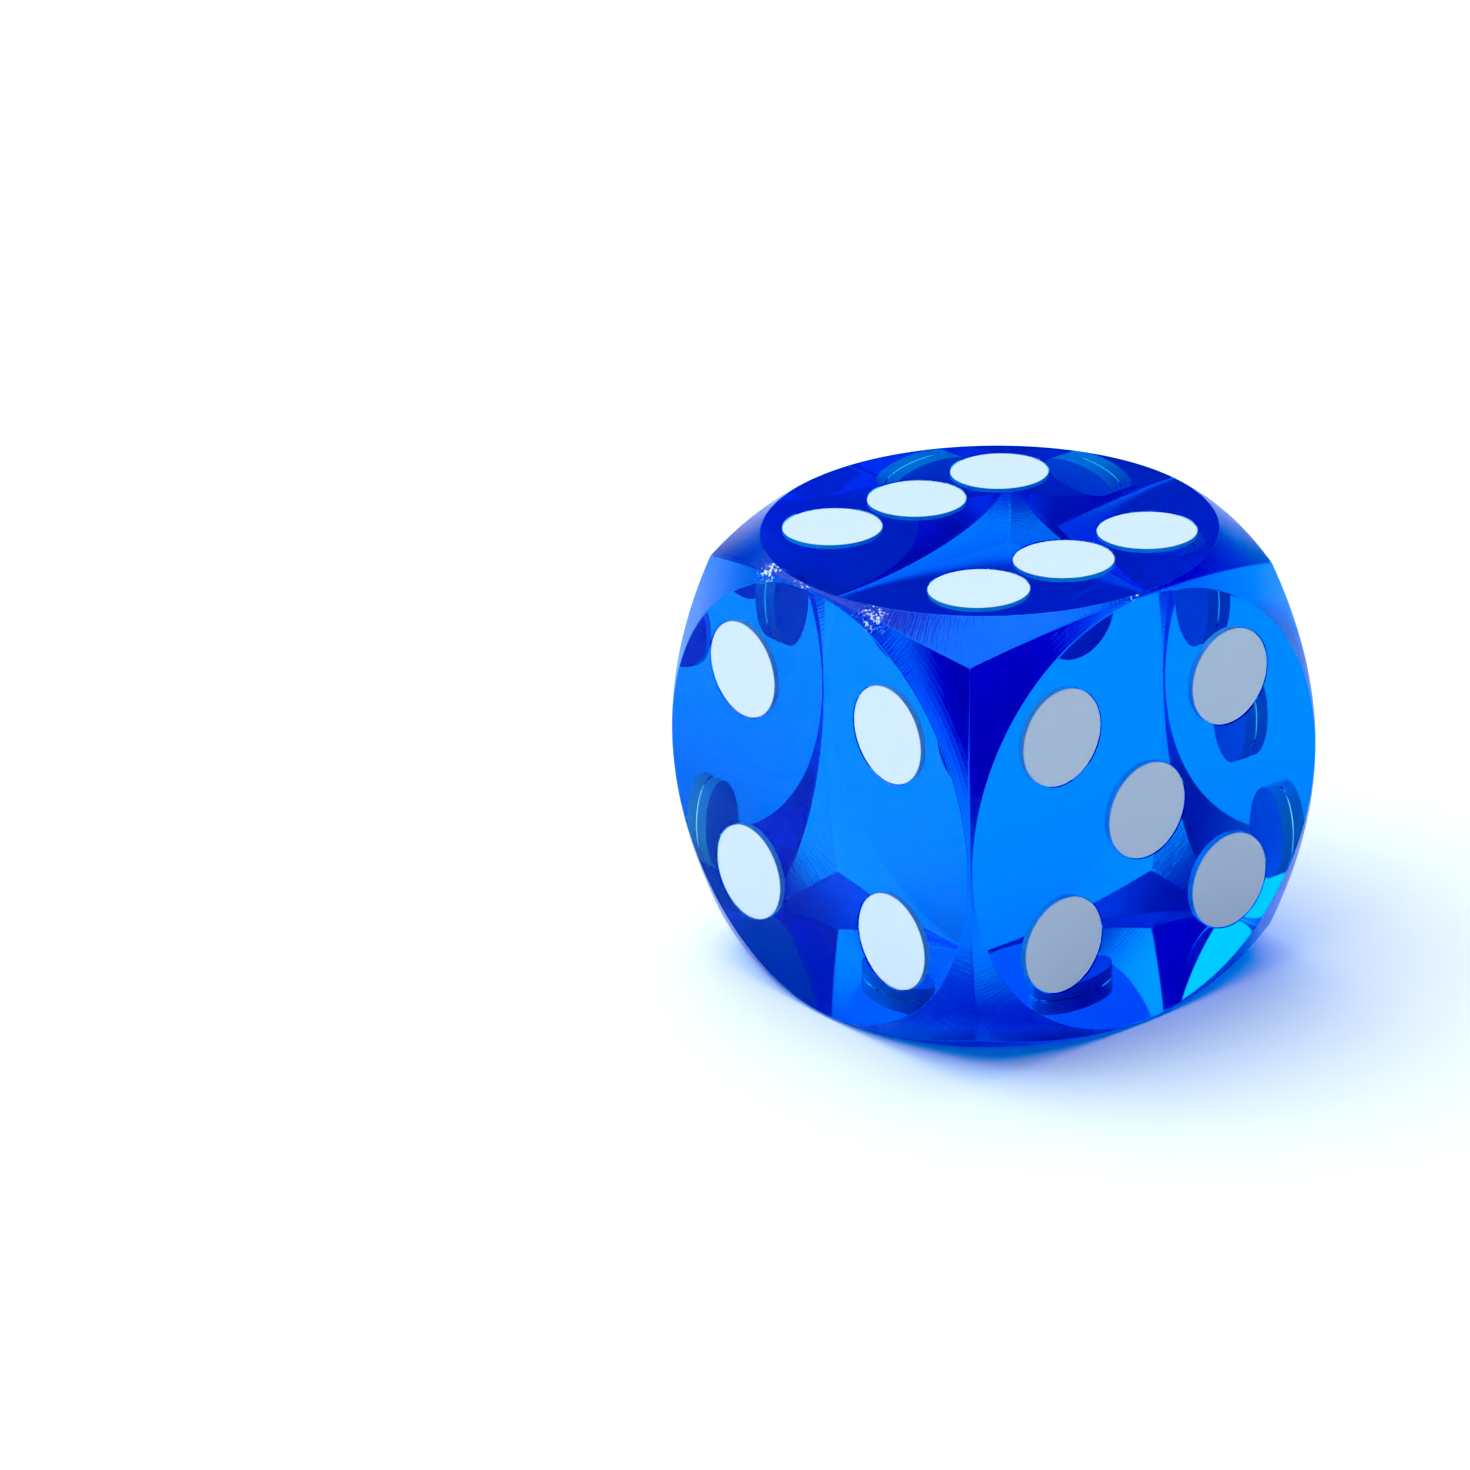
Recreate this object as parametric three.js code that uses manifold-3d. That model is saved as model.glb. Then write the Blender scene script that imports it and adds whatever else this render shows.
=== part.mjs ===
// Ball-corner casino die: a block of clear blue plastic with twenty-one white pips set flush in it.
// Millimetres, +Z up. The origin is the middle of the face that the die stands on, the one-pip face.
import * as THREE from 'three';
import { mergeVertices } from 'three/addons/utils/BufferGeometryUtils.js';
import Module from 'manifold-3d';

// Driving dimensions.
const SIZE = 19;                                 // across two opposite faces
const TIP = 0.857;                               // a corner's tip, as a share of the sharp cube's corner
const FLAT = 0.984;                              // width of the round flats, as a share of the size
const PIP_PITCH = 4.55;                          // from a face's middle line to its outer pips
const PIP_RADIUS = 2.06;
const WELL_DEPTH = 0.65;                         // all twenty-one wells are drilled to one depth
const CLEARANCE = 0.03;                          // round each pip and under it
const FLUSH = 0.02;                              // a pip's face lies this far below the flat

// How finely the round shapes are cut.
const FLAT_SIDES = 96;
const PIP_SIDES = 32;
const FINE_WELD = 1e-5;                          // closes the seam and the poles of a turned shape
const COARSE_WELD = 2e-3;                        // clears the specks where two cuts all but coincide

const HALF = SIZE / 2;
const WELL_RADIUS = PIP_RADIUS + CLEARANCE;
const PIP_THICKNESS = WELL_DEPTH - CLEARANCE - FLUSH;

// Pip places in multiples of the pitch, to the right and up as the face is looked at.
const CENTRE = [[0, 0]];
const RISING = [[-1, -1], [1, 1]];
const FALLING = [[-1, 1], [1, -1]];
const SIDES = [[-1, 0], [1, 0]];

// Opposite faces add up to seven, and 1, 2 and 3 run anticlockwise round the corner they share.
const FACES = [
  { value: 1, out: [0, 0, -1], right: [1, 0, 0], pips: CENTRE },
  { value: 2, out: [-1, 0, 0], right: [0, 0, 1], pips: RISING },
  { value: 3, out: [0, 1, 0], right: [-1, 0, 0], pips: [...CENTRE, ...RISING] },
  { value: 4, out: [0, -1, 0], right: [1, 0, 0], pips: [...RISING, ...FALLING] },
  { value: 5, out: [1, 0, 0], right: [0, 1, 0], pips: [...CENTRE, ...RISING, ...FALLING] },
  { value: 6, out: [0, 0, 1], right: [1, 0, 0], pips: [...RISING, ...FALLING, ...SIDES] },
];

const plastic = new THREE.MeshStandardMaterial({ color: 0x0b4fe0, roughness: 0.06, metalness: 0 });
const enamel = new THREE.MeshStandardMaterial({ color: 0xeef5fa, roughness: 0.3, metalness: 0 });

const wasm = await Module();
wasm.setup();

// Joins the vertices that lie within the tolerance, and drops the triangles that this closes up.
function weld(geometry, tolerance) {
  const bare = geometry.toNonIndexed();
  bare.deleteAttribute('normal');
  bare.deleteAttribute('uv');
  const welded = mergeVertices(bare, tolerance);
  const corners = welded.index.array;
  const kept = [];
  for (let i = 0; i < corners.length; i += 3) {
    const [a, b, c] = corners.slice(i, i + 3);
    if (a !== b && b !== c && c !== a) kept.push(a, b, c);
  }
  welded.setIndex(kept);
  return welded;
}

function toSolid(geometry) {
  const welded = weld(geometry, FINE_WELD);
  return new wasm.Manifold(new wasm.Mesh({
    numProp: 3,
    vertProperties: welded.attributes.position.array,
    triVerts: Uint32Array.from(welded.index.array),
  }));
}

function toGeometry(solid) {
  const { vertProperties, triVerts } = solid.getMesh();
  const geometry = new THREE.BufferGeometry();
  geometry.setAttribute('position', new THREE.BufferAttribute(vertProperties, 3));
  geometry.setIndex(new THREE.BufferAttribute(triVerts, 1));
  const welded = weld(geometry, COARSE_WELD);
  welded.computeVertexNormals();
  return welded;
}

// The cut that a lathe makes round two opposite flats: two cones, base to base. Each cone runs from its
// flat's rim out to the corner tips, which the cones of all three axes share.
function turnedCones() {
  const rim = HALF * FLAT;
  const tipRadius = HALF * TIP * Math.SQRT2;
  const slope = HALF * (1 - TIP) / (tipRadius - rim);
  const apex = HALF + slope * rim;
  const profile = [[0, -apex], [apex / slope, 0], [0, apex]];
  return new THREE.LatheGeometry(profile.map(([x, y]) => new THREE.Vector2(x, y)), FLAT_SIDES);
}

// The turn that brings a disc or a lathe, made round Y, to stand on the given direction.
function standingOn(out) {
  return new THREE.Quaternion().setFromUnitVectors(new THREE.Vector3(0, 1, 0), new THREE.Vector3(...out));
}

function placeOnFace(object, { out, right }, [across, up], depth) {
  const outward = new THREE.Vector3(...out);
  const sideways = new THREE.Vector3(...right);
  const upward = outward.clone().cross(sideways);
  object.quaternion.copy(standingOn(out));
  object.position.set(0, 0, HALF)
    .addScaledVector(outward, HALF - depth)
    .addScaledVector(sideways, across * PIP_PITCH)
    .addScaledVector(upward, up * PIP_PITCH);
  object.updateMatrix();
  return object;
}

function makeBody() {
  const block = new THREE.BoxGeometry(SIZE, SIZE, SIZE).translate(0, 0, HALF);
  let solid = toSolid(block);
  for (const axis of [[1, 0, 0], [0, 1, 0], [0, 0, 1]]) {
    const cones = turnedCones().applyQuaternion(standingOn(axis)).translate(0, 0, HALF);
    solid = solid.intersect(toSolid(cones));
  }
  // Each well's cutter stands as far out of the face as it goes in.
  const cutter = new THREE.CylinderGeometry(WELL_RADIUS, WELL_RADIUS, 2 * WELL_DEPTH, PIP_SIDES);
  for (const face of FACES) {
    for (const place of face.pips) {
      const { matrix } = placeOnFace(new THREE.Object3D(), face, place, 0);
      solid = solid.subtract(toSolid(cutter.clone().applyMatrix4(matrix)));
    }
  }
  const body = new THREE.Mesh(toGeometry(solid), plastic);
  body.name = 'body';
  return body;
}

function makePips(face) {
  const disc = new THREE.CylinderGeometry(PIP_RADIUS, PIP_RADIUS, PIP_THICKNESS, PIP_SIDES);
  return face.pips.map((place, index) => {
    const pip = placeOnFace(new THREE.Mesh(disc, enamel), face, place, FLUSH + PIP_THICKNESS / 2);
    pip.name = `pip_${face.value}_${index + 1}`;
    return pip;
  });
}

const die = new THREE.Group();
die.add(makeBody(), ...FACES.flatMap(makePips));

export default die;
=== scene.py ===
import math
from collections import namedtuple

import bpy
import numpy as np
from mathutils import Matrix, Vector, geometry


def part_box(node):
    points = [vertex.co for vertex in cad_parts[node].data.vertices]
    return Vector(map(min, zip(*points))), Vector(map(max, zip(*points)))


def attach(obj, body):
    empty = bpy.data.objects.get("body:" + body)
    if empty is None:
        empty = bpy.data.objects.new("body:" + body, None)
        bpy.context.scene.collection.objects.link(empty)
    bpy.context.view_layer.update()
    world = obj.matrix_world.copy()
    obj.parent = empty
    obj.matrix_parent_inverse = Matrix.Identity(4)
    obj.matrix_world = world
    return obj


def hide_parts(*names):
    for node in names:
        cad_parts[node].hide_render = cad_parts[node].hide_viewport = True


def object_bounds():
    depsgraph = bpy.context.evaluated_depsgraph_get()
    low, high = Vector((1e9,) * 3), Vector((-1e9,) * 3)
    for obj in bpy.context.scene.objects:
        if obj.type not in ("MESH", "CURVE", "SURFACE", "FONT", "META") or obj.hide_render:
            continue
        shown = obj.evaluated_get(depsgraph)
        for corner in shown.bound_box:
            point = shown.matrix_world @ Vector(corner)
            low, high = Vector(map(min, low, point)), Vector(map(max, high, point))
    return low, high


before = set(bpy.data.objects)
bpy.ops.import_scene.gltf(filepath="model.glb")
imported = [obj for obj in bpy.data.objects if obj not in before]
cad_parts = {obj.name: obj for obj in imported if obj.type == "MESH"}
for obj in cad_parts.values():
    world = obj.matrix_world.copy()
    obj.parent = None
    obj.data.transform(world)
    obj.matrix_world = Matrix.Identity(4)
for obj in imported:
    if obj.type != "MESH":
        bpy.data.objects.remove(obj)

# The shapes are worked out with half the die's size as the unit and its middle as the origin.
CAD_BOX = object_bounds()
MIDDLE = (np.array(CAD_BOX[0]) + np.array(CAD_BOX[1])) / 2
HALF = (CAD_BOX[1].z - CAD_BOX[0].z) / 2

# ---------------------------------------------------------------- measures, in half sizes
TIP = 0.857                           # a corner's tip, as a share of the sharp cube's corner
FLAT = 0.984                          # radius of the round flats
RIM_ROUND = 0.004                     # how far polishing has rounded a flat's rim
RIDGE_ROUND = 0.009                   # and the ridges between the turned cones
WELL_BREAK = 0.003                    # the broken edge round a well
PIP_ROUND = 0.004                     # the rounded edge of a pip
BITE = 0.0006                         # how far a pip bites into the body that it is bonded to
QUARTER_STEPS = 96                    # steps along a ridge, and so along a quarter of a rim
CONE_RINGS = 4
WELL_SIDES = 96

LINE_PITCH = 0.0175                   # between the turned lines on the cones
LINE_HEIGHT = 0.3                     # heights in thousandths of a millimetre
CHATTER_HEIGHT = 6.5
CHATTER_SCALE = 110.0
CHATTER_RUN = 0.12                    # how fast the chatter changes outwards, against round the cone
GRAIN_HEIGHT = 0.8
Scuff = namedtuple("Scuff", "place radius amount")
SCUFFS = (
    Scuff((-0.31, -0.99, 0.985), 0.13, 1.0),
    Scuff((-0.08, -1.0, 1.0), 0.10, 0.8),
    Scuff((0.36, -0.965, 0.975), 0.14, 0.75),
    Scuff((0.99, -0.05, 0.99), 0.09, 0.75),
)

# ---------------------------------------------------------------- colours and finishes
REFRACTION = 1.55
BODY_SURFACE = (0.90, 0.97, 1.0, 1)
BODY_ABSORBS = (0.0, 0.822, 0.988, 1)
BODY_DENSITY = 330.0                  # per metre
POLISHED = 0.012                      # roughness of the flats, and what the cones add to it
TURNED = 0.16
TURNED_PATCHES = 0.14
SCUFFED = 0.30
SCUFFED_CLEAR = 0.3                   # how much of a chip still lets light through
PIP_WHITES = ((0.68, 0.725, 0.74), (0.685, 0.73, 0.745))
PIP_PAINTED_BLUE = (0.45, 0.66, 1.0)        # painted blue light on the side and back, standing in for the light that reaches them through the blue body
RIM_PAINTED_BLUE = 0.6                      # how much of that painted blue light the rounded rim of a pip takes
TABLE_SIZE = 1.5
TABLE_DROP = 0.00002                  # the table lies this far below the die
TABLE_WHITE = (0.96, 0.96, 0.96, 1)

# ---------------------------------------------------------------- the camera, about the die's middle
CAMERA_PLACE = (19.554, -16.978, 11.371)
CAMERA_HEADING = 51.512               # degrees from +Y towards -X
CAMERA_PITCH = 23.604                 # degrees down
CAMERA_ROLL = -1.757
CAMERA_LENS = 158.76                  # mm, on a sensor 36 mm wide

Face = namedtuple("Face", "axis sign right up out")
Pip = namedtuple("Pip", "node face across up radius depth sunk")


def unit(axis, sign=1.0):
    vector = np.zeros(3)
    vector[axis] = sign
    return vector


def make_faces():
    """The six faces, each with a frame in which right x up is outward."""
    faces = []
    for axis in range(3):
        for sign in (1.0, -1.0):
            out, right = unit(axis, sign), unit((axis + 1) % 3)
            faces.append(Face(axis, sign, right, np.cross(out, right), out))
    return faces


FACES = make_faces()


def normalised(vectors):
    vectors = np.asarray(vectors, float)
    return vectors / np.linalg.norm(vectors, axis=-1, keepdims=True)


def circle(count):
    """Points round a circle of radius 1; the last is the first again."""
    turn = np.linspace(0, 2 * math.pi, count + 1)
    return np.stack([np.cos(turn), np.sin(turn)], axis=1)


def on_face(face, flat_points, height):
    """Points across and up a face, at a height from the die's middle, as points in space."""
    return flat_points[:, :1] * face.right + flat_points[:, 1:2] * face.up + height * face.out


class Skin:
    """Gathers polygons, with a normal for each corner, and makes one mesh of them."""

    def __init__(self):
        self.places = {}
        self.points = []
        self.marks = []
        self.polygons = []
        self.normals = []

    def vertex(self, point, mark):
        key = tuple(int(round(c * 1e7)) for c in point)
        if key not in self.places:
            self.places[key] = len(self.points)
            self.points.append(point)
            self.marks.append(mark)
        return self.places[key]

    def add(self, corners, normals, marks=None):
        marks = marks or [0.0] * len(corners)
        indices = [self.vertex(c, m) for c, m in zip(corners, marks)]
        kept = [i for i in range(len(indices)) if indices[i] != indices[i - 1]]
        if len(kept) > 2:
            self.polygons.append([indices[i] for i in kept])
            self.normals.extend(normals[i] for i in kept)

    def strip(self, row_a, row_b, normals_a, normals_b, marks=(0.0, 0.0)):
        """Quads between two rows of points that run the same way, with row_a on their left."""
        a, b = marks
        for i in range(len(row_a) - 1):
            corners = [row_a[i], row_b[i], row_b[i + 1], row_a[i + 1]]
            normals = [normals_a[i], normals_b[i], normals_b[i + 1], normals_a[i + 1]]
            self.add(corners, normals, [a, b, b, a])

    def to_object(self, name, mark_name):
        mesh = bpy.data.meshes.new(name)
        points = np.array(self.points) * HALF + MIDDLE
        mesh.from_pydata([tuple(p) for p in points], [], self.polygons)
        mesh.polygons.foreach_set("use_smooth", [True] * len(mesh.polygons))
        mesh.normals_split_custom_set([tuple(n) for n in self.normals])
        mesh.attributes.new(mark_name, "FLOAT", "POINT").data.foreach_set("value", self.marks)
        mesh.update()
        piece = bpy.data.objects.new(name, mesh)
        bpy.context.scene.collection.objects.link(piece)
        return piece


# ---------------------------------------------------------------- pips and wells
def read_pips():
    """Every pip's place and size, taken from its CAD node."""
    pips = []
    for node in sorted(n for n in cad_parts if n.startswith("pip_")):
        low, high = (np.array(corner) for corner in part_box(node))
        middle = ((low + high) / 2 - MIDDLE) / HALF
        size = (high - low) / HALF
        axis = int(np.argmin(size))
        face = next(f for f in FACES if f.axis == axis and f.sign == np.sign(middle[axis]))
        sunk = 1 - (middle @ face.out + size[axis] / 2)
        across, up = middle @ face.right, middle @ face.up
        pips.append(Pip(node, face, across, up, size.max() / 2, size[axis], sunk))
    return pips


PIPS = read_pips()


def pips_of(face):
    return [pip for pip in PIPS if pip.face is face]


def add_well(skin, pip):
    """A blind well with a broken edge. Returns the outline that its mouth cuts from the flat."""
    face, spokes = pip.face, circle(WELL_SIDES)
    centre = np.array([pip.across, pip.up])
    wall = pip.radius - BITE
    floor = 1 - pip.sunk - pip.depth + BITE
    inward = -on_face(face, spokes, 0)
    outward = np.broadcast_to(face.out, inward.shape)
    broken = normalised(inward + outward)
    mouth = on_face(face, centre + spokes * (wall + WELL_BREAK), 1.0)
    lip = on_face(face, centre + spokes * wall, 1 - WELL_BREAK)
    foot = on_face(face, centre + spokes * wall, floor)
    skin.strip(lip, mouth, broken, broken)
    skin.strip(foot, lip, inward, inward)
    skin.add(foot[:-1], outward[:-1])
    return centre + spokes[:-1] * (wall + WELL_BREAK)


def make_pip(pip):
    """A disc with a softly rounded edge. Its side and back, bonded to the body, are marked for painted
    blue light.
    """
    skin = Skin()
    face, spokes = pip.face, circle(WELL_SIDES)
    centre = np.array([pip.across, pip.up])
    top = 1 - pip.sunk
    radial = on_face(face, spokes, 0)
    outward = np.broadcast_to(face.out, radial.shape)
    rings = []
    # The mark is painted blue light: none on the face, a share on the rounded rim, all on the side and
    # back.
    for angle in np.linspace(0, math.pi / 2, 5):
        reach = pip.radius - PIP_ROUND * (1 - math.sin(angle))
        height = top - PIP_ROUND * (1 - math.cos(angle))
        normals = math.sin(angle) * radial + math.cos(angle) * outward
        rings.append((reach, height, normals, RIM_PAINTED_BLUE if angle > 0.5 else 0.0))
    rings.append((pip.radius, top - 2 * PIP_ROUND, radial, 1.0))
    rings.append((pip.radius, top - pip.depth, radial, 1.0))
    rows = [
        (on_face(face, centre + spokes * reach, height), normals, mark)
        for reach, height, normals, mark in rings
    ]
    skin.add(rows[0][0][:-1], outward[:-1])
    for (near, near_normals, near_mark), (far, far_normals, far_mark) in zip(rows, rows[1:]):
        skin.strip(near, far, near_normals, far_normals, (near_mark, far_mark))
    # The back is marked for painted blue light too.
    skin.add(rows[-1][0][:-1][::-1], -outward[:-1], [1.0] * WELL_SIDES)
    return skin.to_object(pip.node + "_enamel", "painted_blue_light")


# ---------------------------------------------------------------- the body
# How far a cone falls for each step outwards, from its flat's rim to the corner tips.
SLOPE = (1 - TIP) / (TIP * math.sqrt(2) - FLAT)


def ridge(third):
    """Where two neighbouring cones meet: how far along both of their axes, for places along the third."""
    reach = np.ones_like(third)
    for _ in range(60):
        reach = (reach + 1 - SLOPE * (np.hypot(reach, third) - FLAT)) / 2
    return reach


def rim_to_ridge(face, side):
    """The rows of points and normals from a flat's rim out to the ridge that it shares with a neighbour,
    and the sharp ridge itself. All of them run anticlockwise round the face."""
    sideways = np.cross(face.out, side.out)
    third = TIP * np.tan(np.linspace(-math.pi / 4, math.pi / 4, QUARTER_STEPS + 1))[:, None]
    radial = ridge(third) * side.out + third * sideways
    crease = radial + ridge(third) * face.out
    radial = normalised(radial)
    ruling = normalised(radial - SLOPE * face.out)
    cone_normal = normalised(SLOPE * radial + face.out)
    rim = FLAT * radial + face.out
    run = np.linalg.norm(crease - rim, axis=1, keepdims=True)
    inner = rim - np.minimum(RIM_ROUND, 0.3 * run) * radial
    outer = rim + np.minimum(RIM_ROUND, 0.3 * run) * ruling
    last = crease - np.minimum(RIDGE_ROUND, 0.4 * run) * ruling
    flat_normal = np.broadcast_to(face.out, inner.shape)
    rows = [(inner, flat_normal), ((inner + 2 * rim + outer) / 4, normalised(flat_normal + cone_normal))]
    rows += [(outer + share * (last - outer), cone_normal) for share in np.linspace(0, 1, CONE_RINGS + 1)]
    return rows, crease


def add_flat(skin, face, rim):
    """A flat with its wells: what lies between the rim and the mouths of the wells."""
    rings = [np.stack([rim @ face.right, rim @ face.up], axis=1)]
    rings += [add_well(skin, pip) for pip in pips_of(face)]
    points = np.vstack(rings)
    ring_of = np.repeat(range(len(rings)), [len(ring) for ring in rings])
    edges, start = [], 0
    for ring in rings:
        edges += [(start + i, start + (i + 1) % len(ring)) for i in range(len(ring))]
        start += len(ring)
    found = geometry.delaunay_2d_cdt([Vector(p) for p in points], edges, [], 0, 1e-7)
    for triangle in found[2]:
        indices = [found[3][i][0] for i in triangle]
        in_well = len(set(ring_of[indices])) == 1 and ring_of[indices[0]] > 0
        if in_well:
            continue
        corners = points[indices]
        if np.cross(corners[1] - corners[0], corners[2] - corners[0]) < 0:
            corners = corners[::-1]
        skin.add(on_face(face, corners, 1.0), [face.out] * len(corners))


def corner_of(point):
    return tuple(int(s) for s in np.sign(point))


def add_ridges(skin, edges):
    """The rounded ridges between neighbouring cones, and the tips where three of them meet."""
    shoulders = {}
    for rows, _ in edges.values():
        for end in (0, -1):
            shoulders.setdefault(corner_of(rows[-1][0][end]), []).append(rows[-1][0][end])
    tips = {}
    for corner, points in shoulders.items():
        tips[corner] = (np.mean(points, axis=0) + TIP * np.array(corner)) / 2
    for (a, b), (rows, crease) in edges.items():
        if a > b:
            continue
        last_a, normals_a = rows[-1]
        last_b, normals_b = (row[::-1] for row in edges[(b, a)][0][-1])
        middle = (last_a + 2 * crease + last_b) / 4
        normals = normalised(normals_a + normals_b)
        for end in (0, -1):
            corner = corner_of(middle[end])
            middle[end], normals[end] = tips[corner], normalised(corner)
        skin.strip(last_a, middle, normals_a, normals, (1.0, 1.0))
        skin.strip(middle, last_b, normals, normals_b, (1.0, 1.0))


def build_body():
    skin = Skin()
    edges = {}
    for a, face in enumerate(FACES):
        rim = []
        for turn in range(4):
            angle = turn * math.pi / 2
            toward = np.rint(math.cos(angle) * face.right + math.sin(angle) * face.up)
            b = next(i for i, f in enumerate(FACES) if np.array_equal(f.out, toward))
            rows, crease = rim_to_ridge(face, FACES[b])
            for level, ((near, near_normals), (far, far_normals)) in enumerate(zip(rows, rows[1:])):
                marks = ((0.0, 0.5), (0.5, 1.0), (1.0, 1.0))[min(level, 2)]
                skin.strip(near, far, near_normals, far_normals, marks)
            rim.append(rows[0][0][:-1])
            edges[(a, b)] = (rows, crease)
        add_flat(skin, face, np.vstack(rim))
    add_ridges(skin, edges)
    return skin.to_object("die_body", "turned")


# ---------------------------------------------------------------- materials
class NodeTree:
    """Short ways to add the few kinds of nodes used here."""

    def __init__(self, tree):
        self.nodes, self.links = tree.nodes, tree.links

    def add(self, kind, values=None, **settings):
        node = self.nodes.new("ShaderNode" + kind)
        for name, value in settings.items():
            setattr(node, name, value)
        for socket, value in (values or {}).items():
            if isinstance(value, bpy.types.NodeSocket):
                self.links.new(value, node.inputs[socket])
            else:
                node.inputs[socket].default_value = value
        return node

    def mix(self, factor, low, high):
        """Goes from one colour to the other as the factor goes from 0 to 1."""
        ends = [e if isinstance(e, bpy.types.NodeSocket) else (*e, 1) for e in (low, high)]
        values = {0: factor, 6: ends[0], 7: ends[1]}
        return self.add("Mix", values, data_type="RGBA").outputs[2]

    def math(self, operation, *values):
        return self.add("Math", dict(enumerate(values)), operation=operation).outputs[0]

    def vector(self, operation, *values, result="Vector"):
        node = self.add("VectorMath", dict(enumerate(values)), operation=operation)
        return node.outputs[result]

    def scale(self, vector, share):
        node = self.add("VectorMath", {0: vector, "Scale": share}, operation="SCALE")
        return node.outputs["Vector"]

    def ramp(self, value, low, high, start=0.0, end=1.0):
        """Goes smoothly from start to end as the value goes from low to high."""
        ends = {"From Min": low, "From Max": high, "To Min": start, "To Max": end}
        node = self.add("MapRange", {"Value": value, **ends}, interpolation_type="SMOOTHSTEP")
        return node.outputs["Result"]


def new_material(name):
    material = bpy.data.materials.new(name)
    material.use_nodes = True
    tree = NodeTree(material.node_tree)
    return material, tree, tree.nodes["Principled BSDF"], tree.nodes["Material Output"]


def unit_place(tree):
    """The place in half sizes about the die's middle."""
    place = tree.add("TexCoord").outputs["Object"]
    return tree.scale(tree.vector("SUBTRACT", place, tuple(MIDDLE)), 1 / HALF)


def noise(tree, place, scale, detail=2.0, roughness=0.5):
    values = {"Vector": place, "Scale": scale, "Detail": detail, "Roughness": roughness}
    return tree.add("TexNoise", values).outputs["Fac"]


def turning_marks(tree, place):
    """What a cutter left on the cones: fine lines round each face's axis, and chatter across them."""
    absolute = tree.vector("ABSOLUTE", place)
    parts = tree.add("SeparateXYZ", {0: absolute}).outputs
    highest = tree.math("MAXIMUM", tree.math("MAXIMUM", parts[0], parts[1]), parts[2])
    keep = [tree.math("LESS_THAN", part, tree.math("SUBTRACT", highest, 1e-5)) for part in parts]
    mask = tree.add("CombineXYZ", dict(enumerate(keep))).outputs["Vector"]
    across = tree.vector("MULTIPLY", place, mask)
    radius = tree.vector("LENGTH", across, result="Value")
    spoke = tree.vector("NORMALIZE", across)
    lines = tree.math("SINE", tree.math("MULTIPLY", radius, 2 * math.pi / LINE_PITCH))
    run = tree.math("MULTIPLY", radius, CHATTER_RUN)
    sockets = {"Vector": spoke, "W": run, "Scale": CHATTER_SCALE, "Detail": 1.0}
    chatter = tree.add("TexNoise", sockets, noise_dimensions="4D").outputs["Fac"]
    return lines, chatter


def scuffs(tree, place):
    """Small white chips, in the patches of SCUFFS only."""
    near = 0.0
    for scuff in SCUFFS:
        away = tree.vector("DISTANCE", place, scuff.place, result="Value")
        here = tree.ramp(away, 0.0, scuff.radius, scuff.amount, 0.0)
        near = tree.math("MAXIMUM", near, here)
    chips = tree.math("MULTIPLY_ADD", near, 0.20, noise(tree, place, 60.0, 4.0, 0.7))
    return tree.math("MULTIPLY", tree.ramp(chips, 0.67, 0.72), tree.ramp(near, 0.0, 0.1))


def body_material():
    """Clear blue all through, polished on the flats and turned on the cones."""
    material, tree, shader, output = new_material("clear_blue_plastic")
    place = unit_place(tree)
    turned = tree.add("Attribute", attribute_name="turned").outputs["Fac"]
    lines, chatter = turning_marks(tree, place)
    grain = noise(tree, place, 60.0, 1.0)
    patchy = noise(tree, place, 3.0, 2.0)
    scuffed = tree.math("MULTIPLY", turned, scuffs(tree, place))

    shader.inputs["Base Color"].default_value = BODY_SURFACE
    shader.inputs["IOR"].default_value = REFRACTION
    clear = tree.ramp(scuffed, 0.0, 1.0, 1.0, SCUFFED_CLEAR)
    tree.links.new(clear, shader.inputs["Transmission Weight"])
    matt = tree.math("MULTIPLY_ADD", patchy, TURNED_PATCHES, TURNED)
    matt = tree.math("MULTIPLY_ADD", scuffed, SCUFFED, matt)
    roughness = tree.math("MULTIPLY_ADD", turned, matt, POLISHED)
    tree.links.new(roughness, shader.inputs["Roughness"])

    height = tree.math("MULTIPLY", lines, LINE_HEIGHT)
    height = tree.math("MULTIPLY_ADD", chatter, CHATTER_HEIGHT, height)
    height = tree.math("MULTIPLY_ADD", grain, GRAIN_HEIGHT, height)
    height = tree.math("MULTIPLY", height, turned)
    bump = tree.add("Bump", {"Height": height, "Distance": 1e-6, "Strength": 1.0})
    tree.links.new(bump.outputs["Normal"], shader.inputs["Normal"])

    absorption = tree.add("VolumeAbsorption")
    absorption.inputs["Color"].default_value = BODY_ABSORBS
    absorption.inputs["Density"].default_value = BODY_DENSITY
    tree.links.new(absorption.outputs["Volume"], output.inputs["Volume"])
    return material


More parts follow.
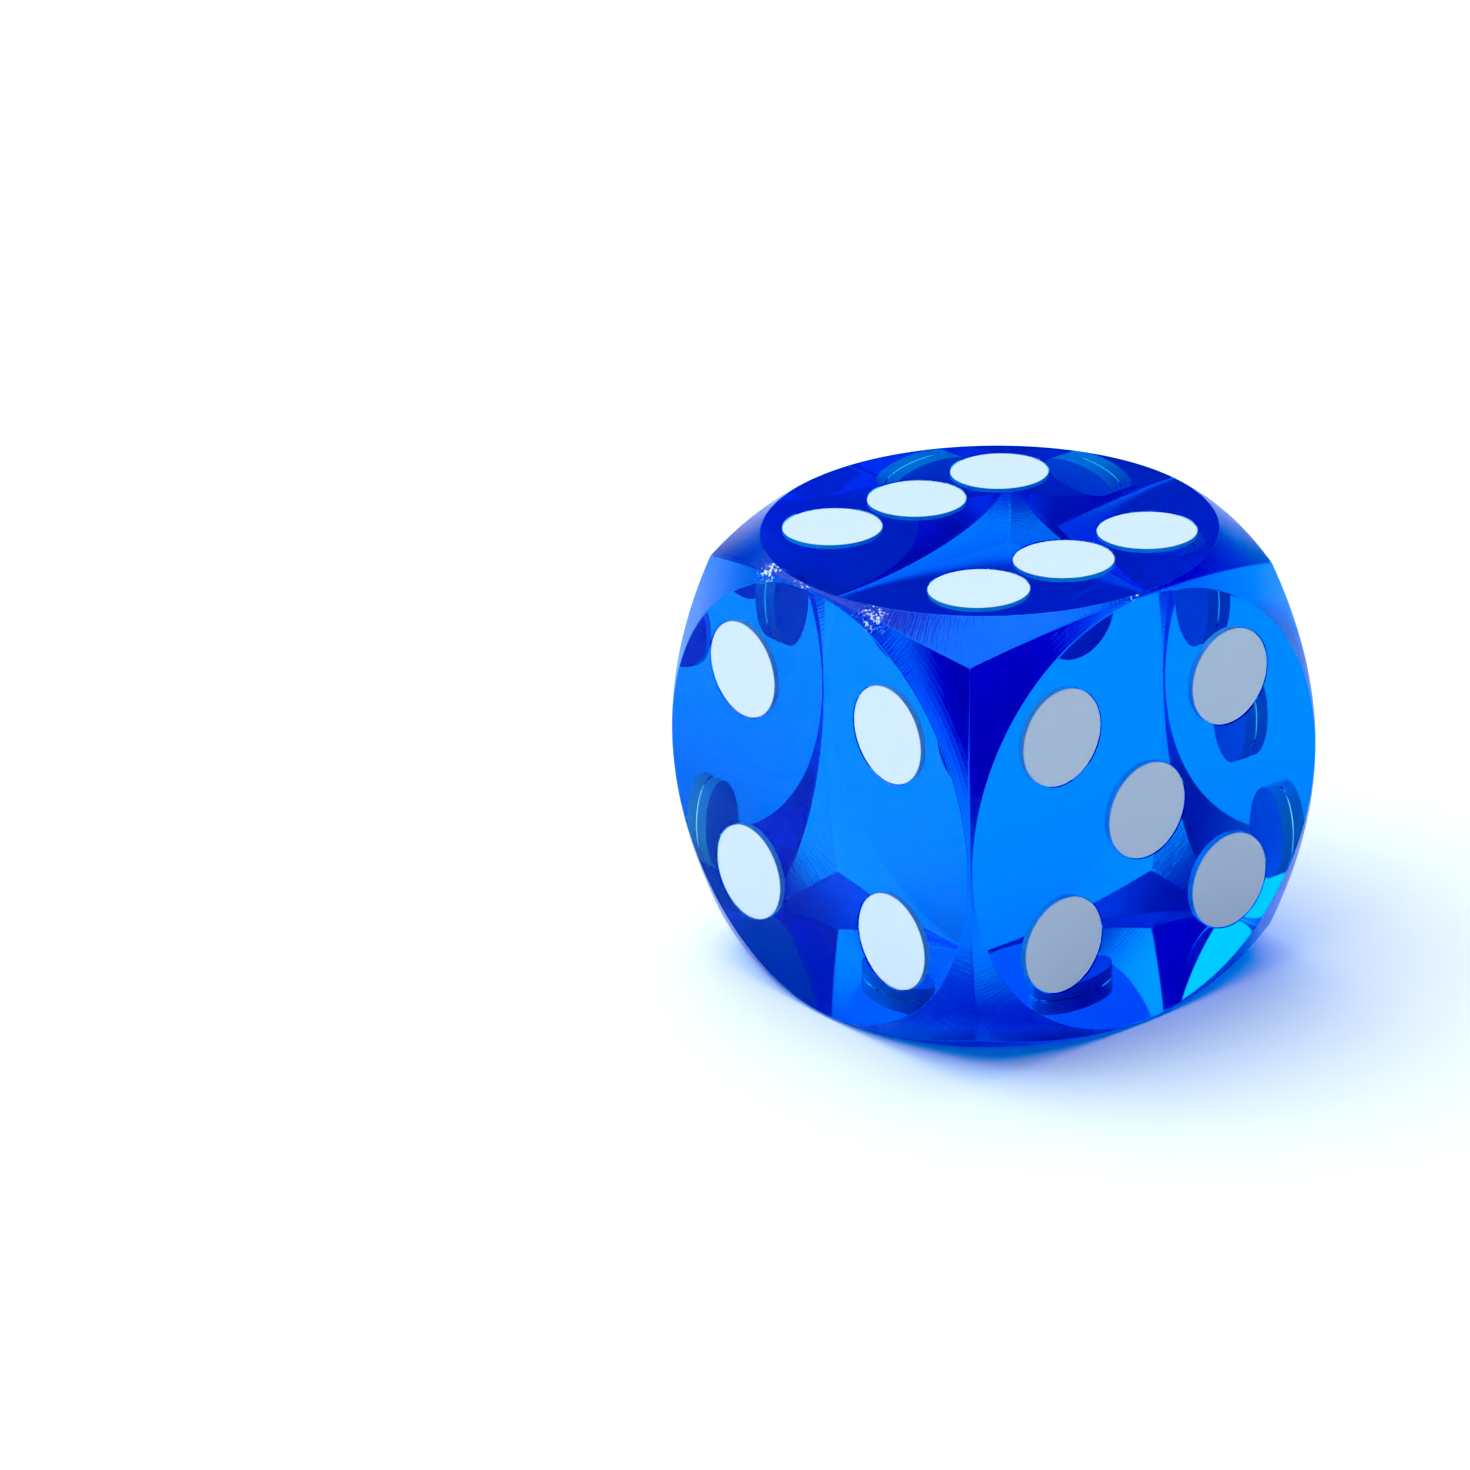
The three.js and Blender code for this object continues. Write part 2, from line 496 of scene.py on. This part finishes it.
def pip_material():
    """White on the face, with painted blue light on the side and back, where light reaches the pip
    through the blue body.
    """
    material, tree, shader, output = new_material("white_enamel")
    place = unit_place(tree)
    painted_blue_light = tree.add("Attribute", attribute_name="painted_blue_light").outputs["Fac"]
    cloud = noise(tree, place, 4.0, 1.0)
    speckle = noise(tree, place, 150.0, 2.0)
    face = tree.mix(cloud, *PIP_WHITES)
    # Painted blue light: the side and back are mixed towards a blue that stands in for light reaching
    # them through the body.
    tree.links.new(tree.mix(painted_blue_light, face, PIP_PAINTED_BLUE), shader.inputs["Base Color"])
    tree.links.new(tree.ramp(speckle, 0.0, 1.0, 0.27, 0.33), shader.inputs["Roughness"])
    bump = tree.add("Bump", {"Height": speckle, "Distance": 1e-6, "Strength": 0.4})
    tree.links.new(bump.outputs["Normal"], shader.inputs["Normal"])
    return material


# ---------------------------------------------------------------- pieces
def finish_piece(piece, material, slot, *nodes):
    piece.data.materials.append(material)
    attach(piece, "root")
    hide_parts(*nodes)


finish_piece(build_body(), body_material(), "clear_blue", "body")
white = pip_material()
for pip in PIPS:
    finish_piece(make_pip(pip), white, "white_pip", pip.node)


# ---------------------------------------------------------------- stage
def make_camera():
    data = bpy.data.cameras.new("camera")
    data.lens = CAMERA_LENS
    data.sensor_width = 36
    data.clip_start = 0.01
    camera = bpy.data.objects.new("camera", data)
    bpy.context.scene.collection.objects.link(camera)
    camera.matrix_world = (
        Matrix.Translation(Vector(CAMERA_PLACE) * HALF + Vector(MIDDLE))
        @ Matrix.Rotation(math.radians(CAMERA_HEADING), 4, "Z")
        @ Matrix.Rotation(math.radians(90 - CAMERA_PITCH), 4, "X")
        @ Matrix.Rotation(math.radians(CAMERA_ROLL), 4, "Z")
    )
    bpy.context.scene.camera = camera


def make_floor():
    mesh = bpy.data.meshes.new("table")
    corners = [(-1, -1), (1, -1), (1, 1), (-1, 1)]
    mesh.from_pydata([(x * TABLE_SIZE, y * TABLE_SIZE, 0) for x, y in corners], [], [(0, 1, 2, 3)])
    floor = bpy.data.objects.new("table", mesh)
    floor.location.z = -TABLE_DROP
    bpy.context.scene.collection.objects.link(floor)
    material, tree, shader, output = new_material("white_table")
    shader.inputs["Base Color"].default_value = TABLE_WHITE
    shader.inputs["Roughness"].default_value = 0.8
    shader.inputs["Specular IOR Level"].default_value = 0.0
    mesh.materials.append(material)


# A softbox: the direction it lies in, the radius in degrees of its full part and of its soft edge,
# its colour and its strength.
Softbox = namedtuple("Softbox", "toward core edge colour strength")
SOFTBOXES = (
    Softbox((-0.32, -0.15, 0.93), 34, 62, (1.12, 1.0, 0.80), 1.62),
    Softbox((-0.56, -0.60, 0.58), 18, 42, (0.52, 0.88, 1.05), 1.3),
    Softbox((0.70, -0.60, 0.40), 7, 18, (0.45, 0.78, 1.0), 0.5),
)
# The sky by height above the horizon: a pale backdrop low down, and dim blue above it.
SKY = (
    (0.0, (0.84, 0.93, 1.0)),
    (0.09, (0.84, 0.93, 1.0)),
    (0.24, (0.11, 0.48, 1.15)),
    (1.0, (0.05, 0.20, 0.5)),
)
SKY_LEAN = (-0.755, 0.656, 0.0)       # it is brightest on this side
SKY_DIM = 0.32                        # and falls to this share of it on the other
# The print's tone curve: a little more contrast, and black a little above none.
TONES = ((0.0, 0.0), (0.075, 0.0), (0.25, 0.15), (0.5, 0.37), (0.75, 0.69), (1.0, 1.0))


def make_world():
    world = bpy.data.worlds.new("studio")
    bpy.context.scene.world = world
    world.use_nodes = True
    tree = NodeTree(world.node_tree)
    background = tree.nodes["Background"]
    direction = tree.add("TexCoord").outputs["Generated"]
    height = tree.add("SeparateXYZ", {0: direction}).outputs["Z"]
    ramp = tree.add("ValToRGB", {0: height})
    elements = ramp.color_ramp.elements
    while len(elements) < len(SKY):
        elements.new(0.5)
    for element, (place, colour) in zip(elements, SKY):
        element.position = place
        element.color = (*colour, 1)
    lean = tree.vector("DOT_PRODUCT", direction, SKY_LEAN, result="Value")
    total = tree.scale(ramp.outputs["Color"], tree.ramp(lean, -0.5, 0.4, SKY_DIM, 1.0))
    for box in SOFTBOXES:
        toward = tuple(normalised(box.toward))
        facing = tree.vector("DOT_PRODUCT", direction, toward, result="Value")
        edge, core = (math.cos(math.radians(angle)) for angle in (box.edge, box.core))
        glow = tree.ramp(facing, edge, core, 0.0, box.strength)
        total = tree.vector("ADD", total, tree.scale(box.colour, glow))
    tree.links.new(total, background.inputs["Color"])


def set_tones():
    view = bpy.context.scene.view_settings
    view.view_transform = "Standard"
    view.use_curve_mapping = True
    points = view.curve_mapping.curves[3].points
    while len(points) < len(TONES):
        points.new(0.5, 0.5)
    for point, place in zip(points, TONES):
        point.location = place
    view.curve_mapping.update()


make_camera()
make_floor()
make_world()
scene = bpy.context.scene
set_tones()
scene.cycles.max_bounces = 32
scene.cycles.transmission_bounces = 32
scene.cycles.glossy_bounces = 16
